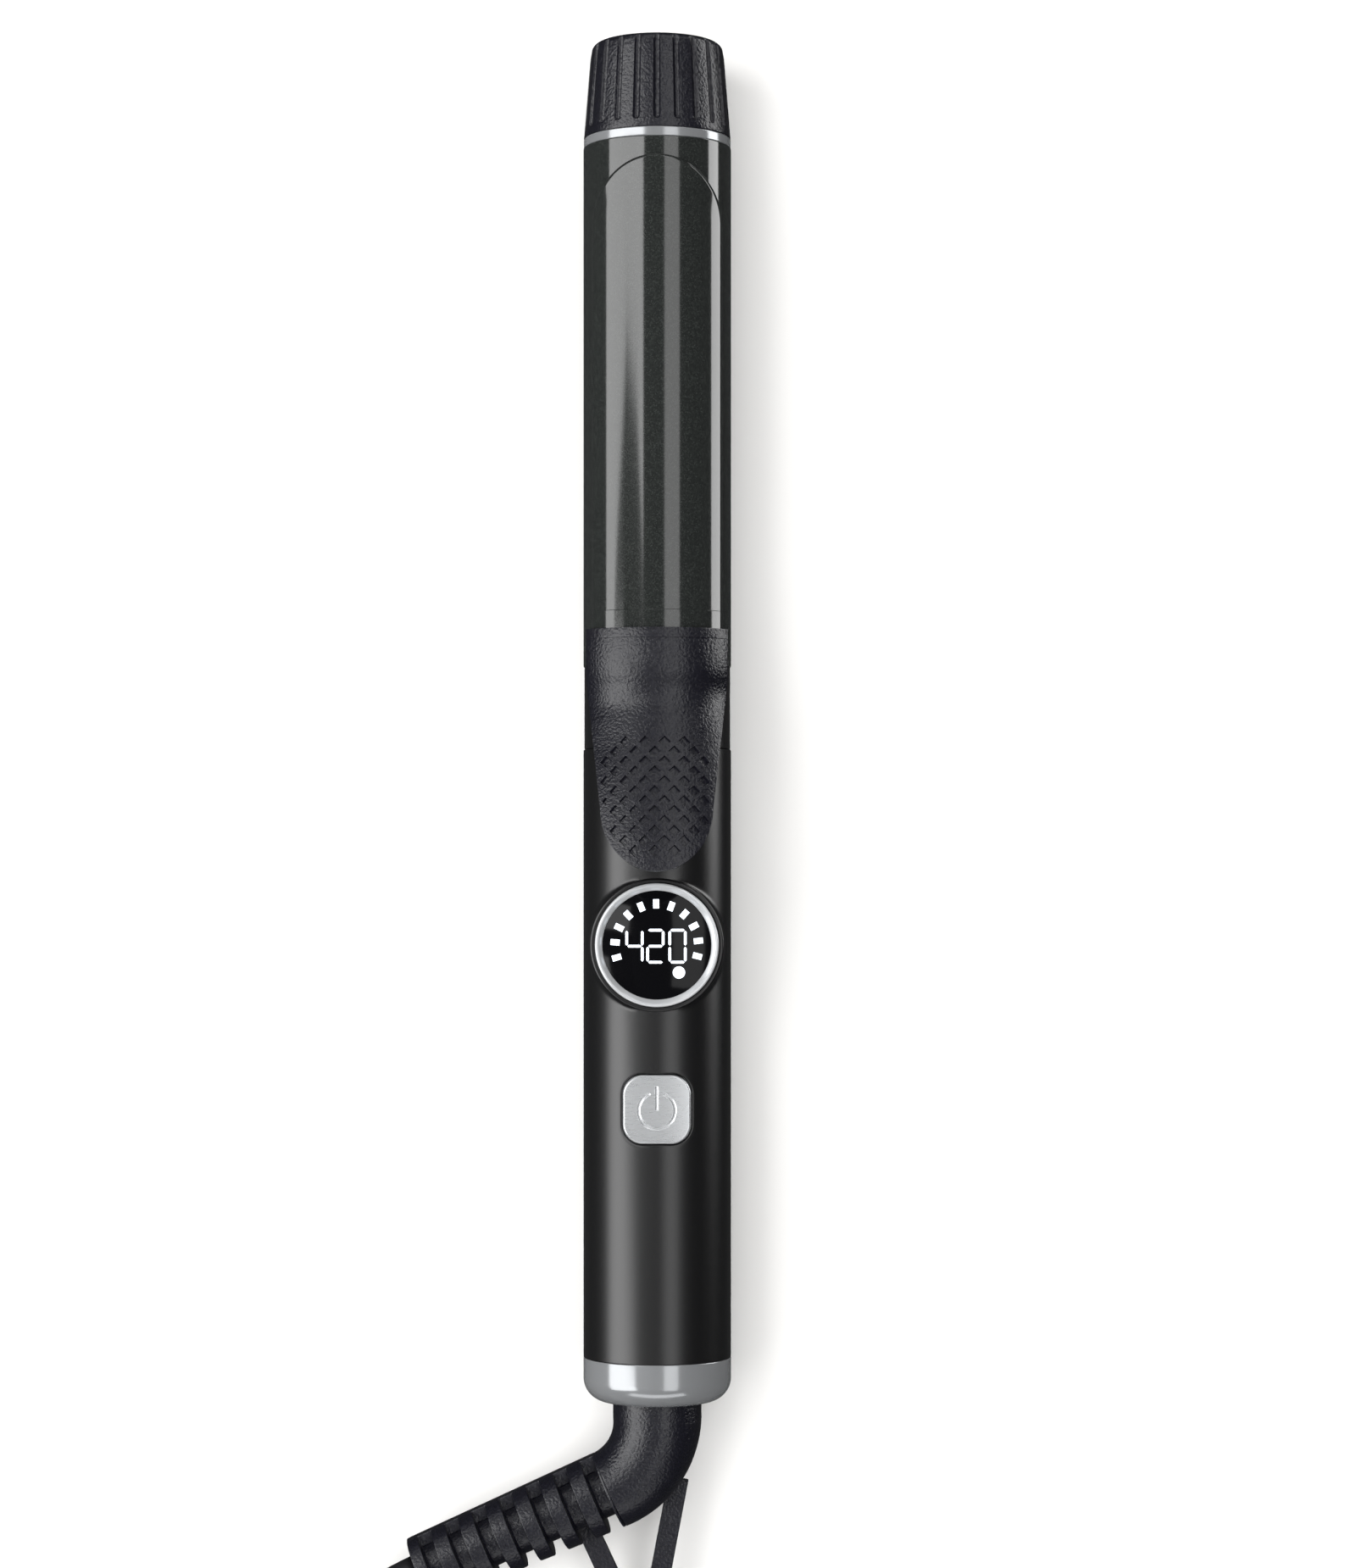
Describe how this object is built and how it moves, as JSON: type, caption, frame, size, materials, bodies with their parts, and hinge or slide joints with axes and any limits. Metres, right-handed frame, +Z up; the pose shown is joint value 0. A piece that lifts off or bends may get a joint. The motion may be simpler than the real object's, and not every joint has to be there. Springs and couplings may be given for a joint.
{
  "type": "curling wand",
  "caption": "Electric curling wand with a sprung clamp over a coated barrel, grooved cool tip, round display, power button and a swivelling mains cord with a hanging loop.",
  "frame": {"origin": "on the surface that the wand lies on, under the middle of the wand's length, without its elbow, loop and cord", "axes": "+Z up out of that surface, the way the display and the lever face; +Y along the wand to the cool tip; +X across it, to the right with the display the right way up"},
  "size_m": [0.092, 0.578, 0.0466],
  "materials": {
    "barrel_coating": "gloss",
    "polished_trim": "polished",
    "handle_plastic": "satin",
    "grained_plastic": "grained",
    "heatproof_plastic": "matte",
    "satin_metal": "satin",
    "lens_black": "gloss",
    "display_light": "lit",
    "steel": "plain",
    "aluminium": "extruded",
    "ceramic": "sintered",
    "circuit_board": "lacquered",
    "component_resin": "moulded",
    "lead_sleeving": "silicone",
    "brass": "plain",
    "cord_rubber": "matte",
    "tie_strap": "woven"
  },
  "bodies": {
    "wand": {"cool_tip": "grained_plastic", "tip_plug": "heatproof_plastic", "tip_screw": "steel", "tip_ring": "polished_trim", "barrel": "barrel_coating", "heater_shell_upper": "aluminium", "heater_shell_lower": "aluminium", "ceramic_heater": "ceramic", "temperature_sensor": "component_resin", "thermal_fuse": "steel", "barrel_insulator": "heatproof_plastic", "heater_leads": "lead_sleeving", "collar": "handle_plastic", "hinge_pin": "steel", "torsion_spring": "steel", "handle_front": "handle_plastic", "handle_rear": "handle_plastic", "handle_screws": "steel", "display_bezel": "polished_trim", "display_lens": "lens_black", "display_segments": "display_light", "display_module": "circuit_board", "control_board": "circuit_board", "board_screws": "steel", "triac": "component_resin", "capacitor": "component_resin", "controller_chip": "component_resin", "tactile_switch": "component_resin", "end_cap": "polished_trim", "swivel_socket": "heatproof_plastic", "swivel_contacts": "brass", "power_cord": "cord_rubber", "cord_hank": "cord_rubber", "cord_tail": "cord_rubber", "cord_tie": "tie_strap", "plug_body": "cord_rubber", "plug_blades": "brass"},
    "clamp": {"clamp_plate": "barrel_coating", "clamp_bracket": "steel", "clamp_rivets": "steel", "clamp_lever": "grained_plastic", "lever_screw": "steel"},
    "button": {"power_button": "satin_metal", "switch_plunger": "component_resin"},
    "swivel": {"swivel_spindle": "heatproof_plastic", "slip_rings": "brass", "retaining_clip": "steel", "cord_elbow": "grained_plastic", "strain_relief": "cord_rubber", "hanging_loop": "grained_plastic"}
  },
  "joints": [
    {"name": "clamp_hinge", "type": "hinge", "parent": "wand", "child": "clamp", "pos_m": [0, 0.0045, 0.0255], "axis": [1, 0, 0], "range_deg": [0, 14], "stiffness_Nm_per_rad": 0.4, "springref_deg": -14.32, "deforming": ["torsion_spring"]},
    {"name": "button_press", "type": "slide", "parent": "wand", "child": "button", "axis": [0, 0, -1], "range_m": [0, 0.0008], "stiffness_N_per_m": 400, "springref_m": -0.001},
    {"name": "cord_swivel", "type": "hinge", "parent": "wand", "child": "swivel", "pos_m": [0, -0.144, 0.016], "axis": [0, 1, 0], "continuous": true}
  ]
}
